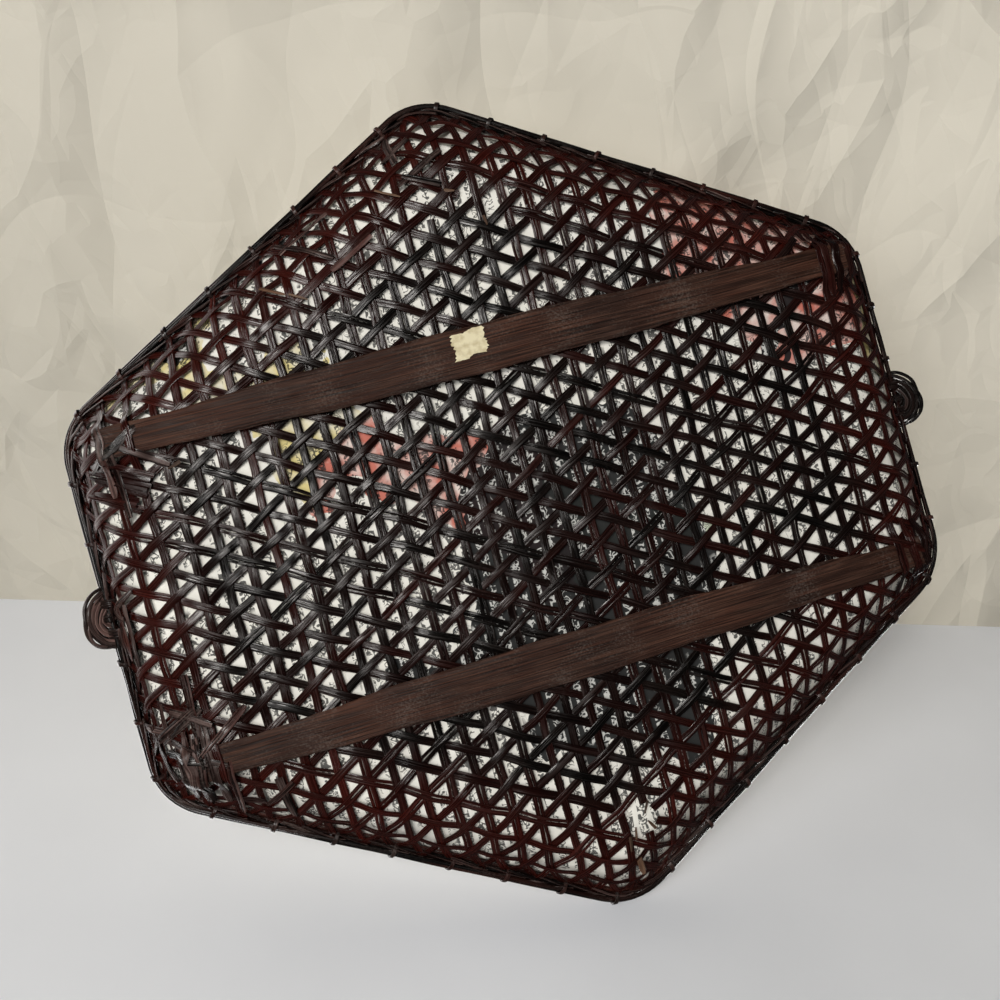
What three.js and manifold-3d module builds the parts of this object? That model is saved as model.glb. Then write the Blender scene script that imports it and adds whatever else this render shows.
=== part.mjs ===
// Shallow hexagonal tray basket of split bamboo with two small ear handles.
// A three-way open weave is shaped into base and walls in one mat, its ends are
// held between two rim hoops by cane lashings, and it stands on two flat slats.
// Millimetres, +Z up. The origin is on the floor under the middle of the tray.
// X runs from handle to handle, and the two slats lie along X.

import * as THREE from 'three';
import Module from 'manifold-3d';

// Weave
const stripPitch = 12.2;            // strip to strip, across the strips
const stripWidth = 3.9;
const stripThickness = 0.5;
const levelStep = 1.4;              // from one of the three strip layers to the next
const rowsToHandleSide = 14;        // pitches from the middle to the base edge, along X
const rowsToLongSide = 12;          // the same, square to the four long sides

// Wall profile: how far out and how high each strip row that runs level round the wall
// lies from the base edge, and then the rim
const firstRowOut = 12.7;
const firstRowRise = 4.3;
const secondRowOut = 26.7;
const secondRowRise = 18;
const rimOut = 34.4;                // middle of the weave at the rim
const rimRise = 31.5;
const strandsAboveRow = 5.2;        // flat length of strip from the second row to the rim
const cornerRadius = 30;            // of the rim, in plan; it fades to nothing at the base
const leastRadius = 2;              // of the paper's corners at the base
const arcSteps = 4;                 // flats round each corner

// Rim
const bandHeight = 4.5;             // selvage that holds the ends of one strip layer
const bandThickness = 0.9;
const hoopHeight = 6;
const outerHoopThickness = 3;
const innerHoopThickness = 2;
const outerHoopBevel = 0.8;
const innerHoopBevel = 0.4;
const hoopTopAboveStrips = 1.5;
const lashingWidth = 2.4;
const lashingThickness = 1;
const lashingSlack = 0.45;          // room that a lashing has round the hoops
const lashingBevel = 0.7;
const lashingSpacing = 2;           // in strip crossings

// Slats
const slatThickness = 3;
const slatWidthMiddle = 23;
const slatWidthEnd = 11.5;
const slatPastBase = 6.2;           // at each end, past the edge of the base
const slatPointLength = 6;
const slatPastCorner = 5;           // from the base corners out to the slat's middle line
const slatCurveSteps = 14;

// Paper lining
const paperThickness = 0.6;
const paperBelowHoop = 3.6;

// Handles
const handleReach = 12.8;           // past the outer face of the rim
const handleHalfWidth = 14;
const outerStrandDiameter = 2.6;
const innerStrandDiameter = 2.2;
const handleStrandGap = 1.4;
const handleTipRise = 3.2;          // the loop leans up towards its tip
const handleBendOut = 1.6;          // its legs turn sideways this far past the outer hoop
const outerLoopSpread = 0.75;       // share of its full width that a loop has there
const innerLoopSpread = 0.1;
const legRun = 0.4;                 // of a strand's diameter, before its leg spreads
const legSpread = 0.3;              // share of that spread at the end of this run
const earOutline = [[0.4, 0.99], [0.85, 0.56]];   // shares of reach and of half width
const handleSteps = 28;
const strandSegments = 4;           // in each quarter turn of a strand's section
const tieWidth = 2.2;
const tieThickness = 1.1;

const clearance = 0.3;              // between touching pieces
const endInset = 0.8;               // the strips stop this far below the top of their band
const sampleStep = 0.61;            // along a strip, before the stations it needs are picked
const bendTolerance = 0.22;
const tangentStep = 0.5;

// Worked out from the sizes above
const handleSideDistance = rowsToHandleSide * stripPitch;
const longSideDistance = rowsToLongSide * stripPitch;
const crossingPitch = stripPitch / Math.cos(Math.PI / 6);
const wallKnots = [[0, 0], [firstRowOut, firstRowRise], [secondRowOut, secondRowRise], [rimOut, rimRise]];
const wallRows = wallKnots.length - 2;
const rimDelta = wallRows * stripPitch + strandsAboveRow;
const weaveZ = slatThickness + clearance + stripThickness / 2 + levelStep;
const slopeLength = Math.hypot(rimOut - secondRowOut, rimRise - secondRowRise);
const slopeUp = new THREE.Vector2(rimOut - secondRowOut, rimRise - secondRowRise).divideScalar(slopeLength);
const slopeOut = new THREE.Vector2(slopeUp.y, -slopeUp.x);
const weaveFace = levelStep + stripThickness / 2;
const bandFace = levelStep + bandThickness / 2;
const outerHoopIn = bandFace + clearance;
const outerHoopOut = outerHoopIn + outerHoopThickness;
const innerHoopOut = -bandFace - clearance;
const innerHoopIn = innerHoopOut - innerHoopThickness;
const hoopTop = hoopTopAboveStrips;
const hoopBottom = hoopTop - hoopHeight;
const wrapBottom = hoopBottom - clearance;
const wrapTop = hoopTop + clearance;
const wrapIn = innerHoopIn - lashingSlack;
const wrapOut = outerHoopOut + lashingSlack;
const sideGrowth = Math.tan(Math.PI / 6);   // how much longer half a side gets per mm outwards

const bamboo = new THREE.MeshStandardMaterial({ color: 0x2a1713, roughness: 0.35, metalness: 0 });
const rimCane = new THREE.MeshStandardMaterial({ color: 0x24130f, roughness: 0.4, metalness: 0 });
const lashingCane = new THREE.MeshStandardMaterial({ color: 0x1d1210, roughness: 0.45, metalness: 0 });
const slatWood = new THREE.MeshStandardMaterial({ color: 0x43261e, roughness: 0.65, metalness: 0 });
const paper = new THREE.MeshStandardMaterial({ color: 0xd9d5c6, roughness: 0.9, metalness: 0 });
const handleCane = new THREE.MeshStandardMaterial({ color: 0x4a3530, roughness: 0.4, metalness: 0 });

const wasm = await Module();
wasm.setup();

const basket = new THREE.Group();

function addPiece(name, geometry, material) {
  const mesh = new THREE.Mesh(geometry, material);
  mesh.name = name;
  basket.add(mesh);
  return mesh;
}

// Plan of the tray: six straight sides that meet at 120 degrees
const sides = [0, 60, 120, 180, 240, 300].map((degrees) => {
  const angle = THREE.MathUtils.degToRad(degrees);
  const out = new THREE.Vector2(Math.cos(angle), Math.sin(angle));
  return {
    out,
    along: new THREE.Vector2(-out.y, out.x),
    distance: degrees % 180 === 0 ? handleSideDistance : longSideDistance,
  };
});
sides.forEach((side, i) => {
  const next = sides[(i + 1) % sides.length];
  const last = sides[(i + sides.length - 1) % sides.length];
  side.high = (next.distance - side.distance / 2) / Math.sin(Math.PI / 3);
  side.low = -(last.distance - side.distance / 2) / Math.sin(Math.PI / 3);
});

function sideEnds(side, out) {
  return { low: side.low - out * sideGrowth, high: side.high + out * sideGrowth };
}

// Which side a place on the flat mat lies beside, and how far past the base edge it is
function pastBase(flat) {
  let best = sides[0];
  let delta = -Infinity;
  for (const side of sides) {
    const d = flat.dot(side.out) - side.distance;
    if (d > delta) {
      delta = d;
      best = side;
    }
  }
  return { side: best, delta };
}

// Where the wall is, out and up, at a flat distance past the base edge
function profileAt(delta) {
  const row = Math.min(Math.floor(delta / stripPitch), wallRows);
  const rowLength = row < wallRows ? stripPitch : strandsAboveRow;
  const t = (delta - row * stripPitch) / rowLength;
  const [out, rise] = wallKnots[row];
  const [nextOut, nextRise] = wallKnots[row + 1];
  return { out: out + t * (nextOut - out), rise: rise + t * (nextRise - rise) };
}

// How far a place on a side has turned into the rounded corner, signed, in radians
function cornerTurn(side, along, out) {
  const { low, high } = sideEnds(side, out);
  const tangent = cornerRadius * (out / rimOut) * sideGrowth;
  const toCorner = Math.max(0, Math.min(high - along, along - low));
  const size = toCorner < tangent ? (1 - toCorner / tangent) * Math.PI / 6 : 0;
  return high - along < along - low ? size : -size;
}

// A point beside a side of the plan, with the corners rounded
function planPoint(side, along, out) {
  const turn = cornerTurn(side, along, out);
  let a = along;
  let o = out;
  if (turn !== 0) {
    const radius = cornerRadius * (out / rimOut);
    const { low, high } = sideEnds(side, out);
    const end = turn > 0 ? high : low;
    a = end - Math.sign(turn) * radius * sideGrowth + radius * Math.sin(turn);
    o = out - radius * (1 - Math.cos(turn));
  }
  return side.out.clone().multiplyScalar(side.distance + o).addScaledVector(side.along, a);
}

// Carries a distance along a side from one ring of the flat mat to a ring of the tray
function alongTray(side, flatAlong, flatOut, out) {
  const flat = sideEnds(side, flatOut);
  const shaped = sideEnds(side, out);
  const share = (flatAlong - flat.low) / (flat.high - flat.low);
  return shaped.low + share * (shaped.high - shaped.low);
}

// From the flat mat, before it is shaped, to the middle surface of the tray
function trayPoint(flat) {
  const { side, delta } = pastBase(flat);
  if (delta <= 0) {
    return new THREE.Vector3(flat.x, flat.y, weaveZ);
  }
  const { out, rise } = profileAt(delta);
  const plan = planPoint(side, alongTray(side, flat.dot(side.along), delta, out), out);
  return new THREE.Vector3(plan.x, plan.y, weaveZ + rise);
}

// A closed solid through a row of sections that have the same number of points
function loft(sections, isRing) {
  const count = sections[0].length;
  const positions = [];
  for (const section of sections) {
    for (const point of section) {
      positions.push(point.x, point.y, point.z);
    }
  }
  const index = [];
  const last = isRing ? sections.length : sections.length - 1;
  for (let i = 0; i < last; i += 1) {
    const here = i * count;
    const there = ((i + 1) % sections.length) * count;
    for (let j = 0; j < count; j += 1) {
      const k = (j + 1) % count;
      index.push(here + j, here + k, there + k);
      index.push(here + j, there + k, there + j);
    }
  }
  if (!isRing) {
    const end = (sections.length - 1) * count;
    for (let j = 1; j < count - 1; j += 1) {
      index.push(0, j + 1, j);
      index.push(end, end + j, end + j + 1);
    }
  }
  const geometry = new THREE.BufferGeometry();
  geometry.setAttribute('position', new THREE.Float32BufferAttribute(positions, 3));
  geometry.setIndex(index);
  return geometry;
}

function toManifold(geometry) {
  return new wasm.Manifold(new wasm.Mesh({
    numProp: 3,
    vertProperties: new Float32Array(geometry.attributes.position.array),
    triVerts: new Uint32Array(geometry.index.array),
  }));
}

function fromManifold(solid) {
  const mesh = solid.getMesh();
  const geometry = new THREE.BufferGeometry();
  geometry.setAttribute('position', new THREE.Float32BufferAttribute(mesh.vertProperties, 3));
  geometry.setIndex(Array.from(mesh.triVerts));
  return geometry;
}

// Keeps the stations that a bent strip needs, to within the tolerance
function simplify(points, tolerance) {
  const keep = new Set([0, points.length - 1]);
  const spans = [[0, points.length - 1]];
  while (spans.length > 0) {
    const [first, last] = spans.pop();
    const chord = new THREE.Line3(points[first], points[last]);
    let farthest = -1;
    let distance = tolerance;
    for (let i = first + 1; i < last; i += 1) {
      const foot = chord.closestPointToPoint(points[i], true, new THREE.Vector3());
      const d = foot.distanceTo(points[i]);
      if (d > distance) {
        distance = d;
        farthest = i;
      }
    }
    if (farthest > 0) {
      keep.add(farthest);
      spans.push([first, farthest], [farthest, last]);
    }
  }
  return [...keep].sort((a, b) => a - b);
}

// One strip of the mat, bent over the base edge and up the walls
function stripGeometry(across, offset, level) {
  const along = new THREE.Vector2(-across.y, across.x);
  const endDelta = rimDelta - endInset / slopeLength * strandsAboveRow;
  const flatAt = (s) => across.clone().multiplyScalar(offset).addScaledVector(along, s);
  const reach = handleSideDistance + longSideDistance;
  const samples = [];
  for (let s = -reach; s <= reach; s += sampleStep) {
    if (pastBase(flatAt(s)).delta <= endDelta) {
      samples.push(s);
    }
  }
  const points = samples.map((s) => trayPoint(flatAt(s)));
  const stations = simplify(points, bendTolerance);
  const sections = stations.map((i) => {
    const here = points[i];
    const before = points[Math.max(0, i - 1)];
    const after = points[Math.min(points.length - 1, i + 1)];
    const tangent = after.clone().sub(before).normalize();
    const left = trayPoint(flatAt(samples[i]).addScaledVector(across, tangentStep));
    const right = trayPoint(flatAt(samples[i]).addScaledVector(across, -tangentStep));
    const width = left.sub(right);
    width.addScaledVector(tangent, -width.dot(tangent)).normalize();
    const up = width.clone().cross(tangent).normalize();
    if (up.z < 0) {
      up.negate();
    }
    const middle = here.clone().addScaledVector(up, level);
    return [[-1, -1], [1, -1], [1, 1], [-1, 1]].map(([w, t]) => middle.clone()
      .addScaledVector(width, w * stripWidth / 2)
      .addScaledVector(up, t * stripThickness / 2));
  });
  return loft(orient(sections), false);
}

// Sections run anticlockwise seen from the end of the path, so that faces point out
function orient(sections) {
  const [first, second] = sections;
  const travel = second[0].clone().sub(first[0]);
  const turn = first[1].clone().sub(first[0]).cross(first[2].clone().sub(first[0]));
  if (turn.dot(travel) < 0) {
    return sections.map((section) => [...section].reverse());
  }
  return sections;
}

// Points round the plan at a distance out from the base edge, with rounded corners
function outline(out, radius) {
  const points = [];
  for (const side of sides) {
    const straightEnd = sideEnds(side, out).high - radius * sideGrowth;
    for (let i = 0; i <= arcSteps; i += 1) {
      const turn = (i / arcSteps) * Math.PI / 3;
      const a = straightEnd + radius * Math.sin(turn);
      const o = out - radius * (1 - Math.cos(turn));
      points.push(side.out.clone().multiplyScalar(side.distance + o).addScaledVector(side.along, a));
    }
  }
  return points;
}

// A ring round the tray whose section is given in up-the-slope and out-of-the-slope sizes.
// Its inside and outside follow the same corner centres, so that rings stay parallel.
function ringGeometry(section) {
  const loops = section.map(([up, out]) => {
    const shiftOut = slopeUp.x * up + slopeOut.x * out;
    const rise = rimRise + slopeUp.y * up + slopeOut.y * out;
    return outline(rimOut + shiftOut, cornerRadius + shiftOut)
      .map((point) => new THREE.Vector3(point.x, point.y, weaveZ + rise));
  });
  const sections = loops[0].map((_, i) => loops.map((loop) => loop[i]));
  return loft(orient(sections), true);
}

function roundedSection(bottom, top, inner, outer, bevel) {
  return [
    [bottom, inner + bevel], [bottom, outer - bevel], [bottom + bevel, outer], [top - bevel, outer],
    [top, outer - bevel], [top, inner + bevel], [top - bevel, inner], [bottom + bevel, inner],
  ];
}

// The three layers of the weave, each with the selvage that its ends are held in
const layers = [
  { name: 'weave_strips_rising', degrees: 60, rows: rowsToLongSide, level: -levelStep },
  { name: 'weave_strips_across', degrees: 0, rows: rowsToHandleSide, level: 0 },
  { name: 'weave_strips_falling', degrees: 120, rows: rowsToLongSide, level: levelStep },
];
for (const layer of layers) {
  const angle = THREE.MathUtils.degToRad(layer.degrees);
  const across = new THREE.Vector2(Math.cos(angle), Math.sin(angle));
  const last = layer.rows + wallRows;
  const solids = [];
  for (let row = -last; row <= last; row += 1) {
    solids.push(toManifold(stripGeometry(across, row * stripPitch, layer.level)));
  }
  const bandBottom = endInset - bandHeight;
  const bandOut = -layer.level + bandThickness / 2;
  const bandIn = -layer.level - bandThickness / 2;
  solids.push(toManifold(ringGeometry([
    [bandBottom, bandIn], [bandBottom, bandOut], [endInset, bandOut], [endInset, bandIn],
  ])));
  addPiece(layer.name, fromManifold(wasm.Manifold.union(solids)), bamboo);
}

// Rim hoops
addPiece('rim_outer_hoop',
  ringGeometry(roundedSection(hoopBottom, hoopTop, outerHoopIn, outerHoopOut, outerHoopBevel)), rimCane);
addPiece('rim_inner_hoop',
  ringGeometry(roundedSection(hoopBottom, hoopTop, innerHoopIn, innerHoopOut, innerHoopBevel)), rimCane);

// A closed band of cane round the rim. Its inside is a convex outline in the slope's own
// section, given anticlockwise as [up, out] with out as the first axis.
function wrapGeometry(width, thickness, inside) {
  const points = inside.map(([up, out]) => new THREE.Vector2(out, up));
  const grown = points.map((point, i) => {
    const before = points[(i + points.length - 1) % points.length];
    const after = points[(i + 1) % points.length];
    const first = point.clone().sub(before).normalize();
    const second = after.clone().sub(point).normalize();
    const normal = new THREE.Vector2(first.y + second.y, -first.x - second.x).normalize();
    const stretch = thickness / normal.dot(new THREE.Vector2(first.y, -first.x));
    return point.clone().addScaledVector(normal, stretch);
  });
  const shape = new THREE.Shape(grown);
  shape.holes.push(new THREE.Path(points));
  const geometry = new THREE.ExtrudeGeometry(shape, { depth: width, bevelEnabled: false });
  geometry.translate(0, 0, -width / 2);
  return geometry;
}

// Puts a piece drawn in the slope's own section on the rim, at a distance along a side
function placeOnRim(mesh, side, along) {
  const foot = planPoint(side, along, rimOut);
  const outward = side.out.clone().rotateAround(new THREE.Vector2(), cornerTurn(side, along, rimOut));
  const x = new THREE.Vector3(outward.x * slopeOut.x, outward.y * slopeOut.x, slopeOut.y);
  const y = new THREE.Vector3(outward.x * slopeUp.x, outward.y * slopeUp.x, slopeUp.y);
  const z = x.clone().cross(y);
  mesh.setRotationFromMatrix(new THREE.Matrix4().makeBasis(x, y, z));
  mesh.position.set(foot.x, foot.y, weaveZ + rimRise);
}

// Where along the rim to stand in an open triangle of the weave, which is counted in
// crossings from the low end of a side and looked up at the height of the hoops' lower edge
const crossingsOnSide = (side) => Math.round((side.high - side.low) / crossingPitch) + wallRows;
function triangleOnRim(side, crossing) {
  const row = sideEnds(side, wallRows * stripPitch);
  const flat = row.low + (crossing / crossingsOnSide(side)) * (row.high - row.low);
  const wrapDelta = rimDelta + strandsAboveRow * wrapBottom / slopeLength;
  return alongTray(side, flat, wrapDelta, rimOut);
}

// The handles' ties stand in the two open triangles nearest the middle of their sides
const handleSides = [['right', sides[0]], ['left', sides[3]]];
const handleCrossings = crossingsOnSide(sides[0]);
const tieFromMiddle = handleCrossings % 2 === 0 ? 0.5 : 1;
const neckHalfWidth = triangleOnRim(sides[0], handleCrossings / 2 + tieFromMiddle);

// Lashings stand in every second open triangle, but not beside a handle's ties
const lashingGeometry = wrapGeometry(lashingWidth, lashingThickness, [
  [wrapBottom, wrapIn + lashingBevel], [wrapBottom, wrapOut - lashingBevel],
  [wrapBottom + lashingBevel, wrapOut], [wrapTop - lashingBevel, wrapOut],
  [wrapTop, wrapOut - lashingBevel], [wrapTop, wrapIn + lashingBevel],
  [wrapTop - lashingBevel, wrapIn], [wrapBottom + lashingBevel, wrapIn],
]);
let lashingNumber = 0;
for (const side of sides) {
  const crossings = crossingsOnSide(side);
  const hasHandle = handleSides.some(([, handleSide]) => handleSide === side);
  for (let i = 0.5; i < crossings; i += lashingSpacing) {
    if (hasHandle && Math.abs(i - crossings / 2) <= tieFromMiddle) {
      continue;
    }
    lashingNumber += 1;
    const name = `rim_lashing_${String(lashingNumber).padStart(2, '0')}`;
    placeOnRim(addPiece(name, lashingGeometry, lashingCane), side, triangleOnRim(side, i));
  }
}

// Slats that the basket stands on, beside the lines from base corner to base corner
function slatGeometry() {
  const shape = new THREE.Shape();
  const halfLength = handleSideDistance + slatPastBase;
  const bulge = slatWidthMiddle - slatWidthEnd / 2;
  shape.moveTo(-halfLength, -slatWidthEnd / 2);
  shape.quadraticCurveTo(0, -bulge, halfLength, -slatWidthEnd / 2);
  shape.lineTo(halfLength + slatPointLength, 0);
  shape.lineTo(halfLength, slatWidthEnd / 2);
  shape.quadraticCurveTo(0, bulge, -halfLength, slatWidthEnd / 2);
  shape.lineTo(-halfLength - slatPointLength, 0);
  return new THREE.ExtrudeGeometry(shape, {
    depth: slatThickness, bevelEnabled: false, curveSegments: slatCurveSteps,
  });
}
const slatY = sides[0].high + slatPastCorner;
addPiece('foot_slat_back', slatGeometry(), slatWood).position.y = slatY;
addPiece('foot_slat_front', slatGeometry(), slatWood).position.y = -slatY;

// Paper lining: one thin tray inside the weave, below the inner hoop
function liningGeometry() {
  const gap = weaveFace + 2 * clearance;
  const knots = wallKnots.map(([out, rise]) => new THREE.Vector2(out, rise));
  const runs = knots.slice(1).map((knot, i) => knot.clone().sub(knots[i]).normalize());
  const belowRim = hoopTop - hoopBottom - hoopTopAboveStrips + paperBelowHoop;

  // The wall's profile moved inwards, as far as the paper's upper edge
  const profile = (inwards) => knots.map((knot, i) => {
    const before = i === 0 ? new THREE.Vector2(1, 0) : runs[i - 1];
    const after = i === runs.length ? before : runs[i];
    const normal = new THREE.Vector2(-before.y - after.y, before.x + after.x).normalize();
    const stretch = inwards / normal.dot(new THREE.Vector2(-before.y, before.x));
    const point = knot.clone().addScaledVector(normal, stretch);
    return i === runs.length ? point.addScaledVector(slopeUp, -belowRim) : point;
  });
  const section = [...profile(gap), ...profile(gap + paperThickness).reverse()];
  const loops = section.map((point) => {
    const radius = Math.max(leastRadius, cornerRadius * point.x / rimOut);
    return outline(point.x, radius).map((p) => new THREE.Vector3(p.x, p.y, weaveZ + point.y));
  });
  return loft(loops, false);
}
addPiece('paper_lining', liningGeometry(), paper);

// Handles: two nested ear loops of cane that start under the outer hoop, with a tie at
// each side of the neck. The first points of a loop are given in the slope's own section.
const rimX = handleSideDistance + rimOut;
const rimFace = rimX + slopeUp.x * hoopTop + slopeOut.x * outerHoopOut;

function slopePoint(up, out, y) {
  return new THREE.Vector3(
    rimX + slopeUp.x * up + slopeOut.x * out,
    y,
    weaveZ + rimRise + slopeUp.y * up + slopeOut.y * out,
  );
}

function loopGeometry({ diameter, halfWidth, neck, reach, spread }) {
  const legUp = hoopBottom - clearance - diameter / 2;
  const wide = halfWidth - diameter / 2;
  const foot = weaveFace + 2 * clearance;
  const leaveSpread = (wide - neck) * spread;
  const leave = slopePoint(legUp, outerHoopOut + handleBendOut, neck + leaveSpread);
  const tip = new THREE.Vector3(rimFace + reach - diameter / 2, 0, leave.z + handleTipRise);
  const ear = earOutline.map(([share, width]) => {
    const point = leave.clone().lerp(tip, share);
    point.y = wide * width;
    return point;
  });
  const half = [
    slopePoint(legUp, foot, neck),
    slopePoint(legUp, foot + diameter * legRun, neck + leaveSpread * legSpread),
    leave,
    ...ear,
    tip,
  ];
  const mirrored = half.slice(0, -1).reverse().map((p) => new THREE.Vector3(p.x, -p.y, p.z));
  const path = new THREE.CatmullRomCurve3([...half, ...mirrored]);
  const section = new THREE.Shape();
  section.absarc(0, 0, diameter / 2, 0, Math.PI * 2);
  return new THREE.ExtrudeGeometry(section, {
    steps: handleSteps, curveSegments: strandSegments, extrudePath: path,
  });
}

const outerLoop = loopGeometry({
  diameter: outerStrandDiameter,
  halfWidth: handleHalfWidth,
  neck: neckHalfWidth,
  reach: handleReach,
  spread: outerLoopSpread,
});
const innerLoop = loopGeometry({
  diameter: innerStrandDiameter,
  halfWidth: handleHalfWidth - outerStrandDiameter - handleStrandGap,
  neck: neckHalfWidth - tieWidth / 2 - clearance - innerStrandDiameter,
  reach: handleReach - outerStrandDiameter - handleStrandGap,
  spread: innerLoopSpread,
});

// A tie is a lashing that also goes round the outer loop's leg, under the hoop
const tieBottom = hoopBottom - outerStrandDiameter - 2 * clearance;
const tieGeometry = wrapGeometry(tieWidth, tieThickness, [
  [wrapBottom, wrapIn + lashingBevel], [tieBottom, weaveFace], [tieBottom, wrapOut - lashingBevel],
  [tieBottom + lashingBevel, wrapOut], [wrapTop - lashingBevel, wrapOut], [wrapTop, wrapOut - lashingBevel],
  [wrapTop, wrapIn + lashingBevel], [wrapTop - lashingBevel, wrapIn], [wrapBottom + lashingBevel, wrapIn],
]);
for (const [name, side] of handleSides) {
  const turn = Math.atan2(side.out.y, side.out.x);
  addPiece(`handle_${name}_outer_loop`, outerLoop, handleCane).rotation.z = turn;
  addPiece(`handle_${name}_inner_loop`, innerLoop, handleCane).rotation.z = turn;
  for (const [end, sign] of [['a', -1], ['b', 1]]) {
    placeOnRim(addPiece(`handle_${name}_tie_${end}`, tieGeometry, lashingCane), side, sign * neckHalfWidth);
  }
}

export default basket;
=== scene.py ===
import math

import bpy
import numpy as np
from mathutils import Matrix, Vector, noise


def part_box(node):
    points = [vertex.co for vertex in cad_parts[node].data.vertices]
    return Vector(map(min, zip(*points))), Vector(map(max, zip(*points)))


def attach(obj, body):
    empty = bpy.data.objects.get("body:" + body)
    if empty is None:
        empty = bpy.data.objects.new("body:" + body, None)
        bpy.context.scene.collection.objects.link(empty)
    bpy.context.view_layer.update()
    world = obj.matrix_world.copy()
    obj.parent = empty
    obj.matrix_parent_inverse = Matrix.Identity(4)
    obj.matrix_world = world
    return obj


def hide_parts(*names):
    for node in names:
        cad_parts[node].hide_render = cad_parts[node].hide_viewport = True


# A shallow six-sided tray basket of dark lacquered bamboo, seen from below.
# Lengths are in millimetres until a mesh is made, and the mouth of the tray points along +Z.
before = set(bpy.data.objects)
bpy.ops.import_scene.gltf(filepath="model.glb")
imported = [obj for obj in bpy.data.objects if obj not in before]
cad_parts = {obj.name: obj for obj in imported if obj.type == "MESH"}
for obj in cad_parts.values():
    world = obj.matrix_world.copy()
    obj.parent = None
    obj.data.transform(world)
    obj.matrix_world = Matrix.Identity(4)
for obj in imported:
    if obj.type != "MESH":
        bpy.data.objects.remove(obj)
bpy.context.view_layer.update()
mm = 0.001
scene = bpy.context.scene
scene.view_settings.view_transform = "Standard"


# The camera looks up at the underside and a little to the side, as in the photograph.
camera = {
    "place": (0.0677, 0.0038, -0.417), "right": (-0.957, -0.267, -0.118), "up": (-0.265, 0.964, -0.032),
    "lens": 32.4, "sensor": 36, "shiftDown": 0.002,
}


def cameraAxes():
    right = Vector(camera["right"]).normalized()
    back = right.cross(Vector(camera["up"])).normalized()
    return right, back.cross(right), back


def addCamera():
    data = bpy.data.cameras.new("camera")
    data.lens, data.sensor_width, data.shift_y = camera["lens"], camera["sensor"], camera["shiftDown"]
    data.clip_start = 0.01
    eye = bpy.data.objects.new("camera", data)
    scene.collection.objects.link(eye)
    turn = Matrix(cameraAxes()).transposed().to_4x4()
    eye.matrix_world = Matrix.Translation(camera["place"]) @ turn
    scene.camera = eye


addCamera()
print("camera placed")


# The tray is folded up from a flat three-way weave. A flat point past the base edge goes on to the wall.
tray = {
    "pitch": 12.03, "acrossStretch": 1.01, "rows": (14, 12, 12, 14, 12, 12), "baseZ": 4.95,
    "cadPitch": 12.2, "rimOut": 34.4, "rimRise": 31.5, "cornerRadius": 30,
    "foot": ((-60, -60, 0), (0, 0, 0), (12, 12.3, 2.4)),
    "longWall": ((24, 26.7, 17.2), (36, 35.9, 27.8), (40, 38.5, 30.8), (60, 48, 48)),
    "handleWall": ((24, 28.6, 17.4), (36, 35.4, 27.9), (40, 37.3, 30.8), (60, 47, 48)),
    "foldBlur": 2.4, "crossingsAtRim": (12, 16, 16, 12, 16, 16),
}
sixth = math.pi / 3
sineSixth = math.sin(sixth)
halfTurn = math.tan(sixth / 2)
sideAngles = np.arange(6) * sixth
outward = np.stack([np.cos(sideAngles), np.sin(sideAngles)], 1)
sideways = np.stack([-outward[:, 1], outward[:, 0]], 1)
rowCount = np.array(tray["rows"], float)
crossingsAtRim = np.array(tray["crossingsAtRim"], float)


def sideEnds(reach):
    # where each side of a hexagon starts and stops, along the side
    after, before = np.roll(reach, -1), np.roll(reach, 1)
    return (reach / 2 - before) / sineSixth, (after - reach / 2) / sineSixth


flatReach = rowCount * tray["pitch"]
flatStart, flatStop = sideEnds(flatReach)
rimReach = rowCount * tray["cadPitch"] + tray["rimOut"]
rimStart, rimStop = sideEnds(rimReach)
flatLength, rimLength = flatStop - flatStart, rimStop - rimStart
stretch = np.array([tray["acrossStretch"], 1])


def smoothStep(value):
    value = np.clip(value, 0, 1)
    return value * value * (3 - 2 * value)


def wallTable(knots):
    # the wall's profile with its folds rounded: distance, reach past the base edge, rise and slope
    at, *columns = np.array(knots, float).T
    flat = np.arange(-20, 48, 0.5)
    taps = np.linspace(-2.4, 2.4, 13)
    weight = np.exp(-taps**2 / 2)
    shifted = flat[:, None] + taps * tray["foldBlur"]
    out, rise = [(np.interp(shifted, at, column) * weight).sum(1) / weight.sum() for column in columns]
    return flat, out - np.minimum(flat, 0), rise, np.arctan2(np.gradient(rise), np.gradient(out))


walls = [wallTable(tray["foot"] + tray[name]) for name in ("longWall", "handleWall")]


def fromWalls(distance, handled):
    # reach, rise and slope, mixed by how much of the wall is a handle side's
    for column in (1, 2, 3):
        long, handle = [np.interp(distance, wall[0], wall[column]) for wall in walls]
        yield long + (handle - long) * handled


def pastBase(flat):
    # the side that a flat point lies past, and how far past it
    away = flat @ outward.T - flatReach
    side = away.argmax(1)
    return side, away[np.arange(len(flat)), side]


def onHexagon(side, share, reach, start, stop):
    # points on the sides of a flat hexagon, by the share along each side
    along = start[side] + share * (stop[side] - start[side])
    return outward[side] * reach[side][:, None] + sideways[side] * along[:, None]


def atCorner(share, toCorner, radius, onWall=True):
    # how far a rounded corner turns a point near it, slides it along its side and draws it in
    tangent = radius * halfTurn
    turn = np.where(onWall, np.clip(1 - toCorner / tangent, 0, 1) * sixth / 2, 0)
    slide = np.where(turn > 0, toCorner - tangent + radius * np.sin(turn), 0)
    sign = np.where(share > 0.5, 1, -1)
    return turn * sign, slide * sign, radius * (1 - np.cos(turn))


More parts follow.
